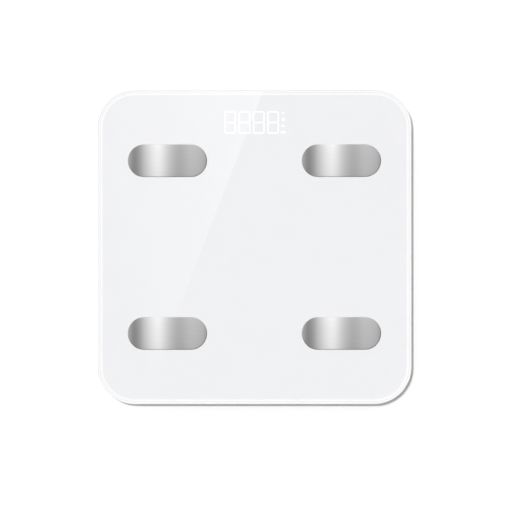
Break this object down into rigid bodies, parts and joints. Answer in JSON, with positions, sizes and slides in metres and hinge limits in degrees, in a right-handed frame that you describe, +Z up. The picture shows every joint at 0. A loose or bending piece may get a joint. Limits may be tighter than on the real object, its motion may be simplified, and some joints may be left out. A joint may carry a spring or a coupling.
{
  "type": "digital bathroom scale",
  "caption": "Square digital bathroom scale with a rounded glass platform, raised steel foot electrodes, a hidden lit display, a shallow moulded case, round feet and a battery door below.",
  "frame": {"origin": "on the floor, under the middle of the platform", "axes": "+Z up, +Y towards the display, +X to the right of a person who faces the display"},
  "size_m": [0.26, 0.26, 0.026],
  "materials": {
    "glass": "polished, toughened",
    "white_print": "smooth white print",
    "foam": "matt foam tape",
    "white_shell": "fine-grained moulding",
    "cup_plastic": "moulded",
    "button_plastic": "moulded",
    "plunger_plastic": "moulded",
    "retainer_plastic": "moulded",
    "display_plastic": "moulded",
    "brushed_steel": "brushed along its length",
    "cell_steel": "stamped, plated",
    "spring_steel": "nickel plated",
    "screw_steel": "zinc plated",
    "shield_can": "stamped",
    "brass": "plated",
    "pad_rubber": "moulded, matt",
    "board": "solder resist",
    "black_plastic": "moulded",
    "cell_jacket": "printed sleeve",
    "lead_jacket": "smooth jacket"
  },
  "bodies": {
    "base": {"glass_platform": "glass", "backing_film": "white_print", "bond_tape": "foam", "top_tray": "white_shell", "bottom_cover": "white_shell", "battery_1": "cell_jacket", "battery_2": "cell_jacket", "battery_3": "cell_jacket", "battery_negative_contact": "spring_steel", "battery_front_link": "spring_steel", "battery_back_link": "spring_steel", "battery_positive_contact": "spring_steel", "battery_lead_negative": "lead_jacket", "battery_lead_positive": "lead_jacket", "display_block": "display_plastic", "main_board": "board", "controller_chip": "black_plastic", "radio_module": "shield_can", "board_screw_left": "screw_steel", "board_screw_right": "screw_steel", "unit_switch": "black_plastic", "electrode_front_left": "brushed_steel", "electrode_nut_front_left": "brass", "load_cell_front_left": "cell_steel", "cell_retainer_front_left": "retainer_plastic", "cell_lead_front_left": "lead_jacket", "electrode_lead_front_left": "lead_jacket", "case_screw_front_left": "screw_steel", "electrode_front_right": "brushed_steel", "electrode_nut_front_right": "brass", "load_cell_front_right": "cell_steel", "cell_retainer_front_right": "retainer_plastic", "cell_lead_front_right": "lead_jacket", "electrode_lead_front_right": "lead_jacket", "case_screw_front_right": "screw_steel", "electrode_back_left": "brushed_steel", "electrode_nut_back_left": "brass", "load_cell_back_left": "cell_steel", "cell_retainer_back_left": "retainer_plastic", "cell_lead_back_left": "lead_jacket", "electrode_lead_back_left": "lead_jacket", "case_screw_back_left": "screw_steel", "electrode_back_right": "brushed_steel", "electrode_nut_back_right": "brass", "load_cell_back_right": "cell_steel", "cell_retainer_back_right": "retainer_plastic", "cell_lead_back_right": "lead_jacket", "electrode_lead_back_right": "lead_jacket", "case_screw_back_right": "screw_steel"},
    "foot_front_left": {"foot_cup_front_left": "cup_plastic", "foot_pad_front_left": "pad_rubber"},
    "foot_front_right": {"foot_cup_front_right": "cup_plastic", "foot_pad_front_right": "pad_rubber"},
    "foot_back_left": {"foot_cup_back_left": "cup_plastic", "foot_pad_back_left": "pad_rubber"},
    "foot_back_right": {"foot_cup_back_right": "cup_plastic", "foot_pad_back_right": "pad_rubber"},
    "battery_door": {"battery_door": "white_shell"},
    "unit_button": {"unit_button": "button_plastic", "switch_plunger": "plunger_plastic"}
  },
  "joints": [
    {"name": "foot_travel_front_left", "type": "slide", "parent": "base", "child": "foot_front_left", "axis": [0, 0, 1], "range_m": [0, 0.0004], "stiffness_N_per_m": 8000, "springref_m": -0.001},
    {"name": "foot_travel_front_right", "type": "slide", "parent": "base", "child": "foot_front_right", "axis": [0, 0, 1], "range_m": [0, 0.0004], "stiffness_N_per_m": 8000, "springref_m": -0.001},
    {"name": "foot_travel_back_left", "type": "slide", "parent": "base", "child": "foot_back_left", "axis": [0, 0, 1], "range_m": [0, 0.0004], "stiffness_N_per_m": 8000, "springref_m": -0.001},
    {"name": "foot_travel_back_right", "type": "slide", "parent": "base", "child": "foot_back_right", "axis": [0, 0, 1], "range_m": [0, 0.0004], "stiffness_N_per_m": 8000, "springref_m": -0.001},
    {"name": "battery_door_hinge", "type": "hinge", "parent": "base", "child": "battery_door", "pos_m": [0, 0.0333, 0.005], "axis": [-1, 0, 0], "range_deg": [0, 60]},
    {"name": "unit_button_press", "type": "slide", "parent": "base", "child": "unit_button", "axis": [0, 0, 1], "range_m": [0, 0.0005], "stiffness_N_per_m": 400, "springref_m": -0.001}
  ]
}
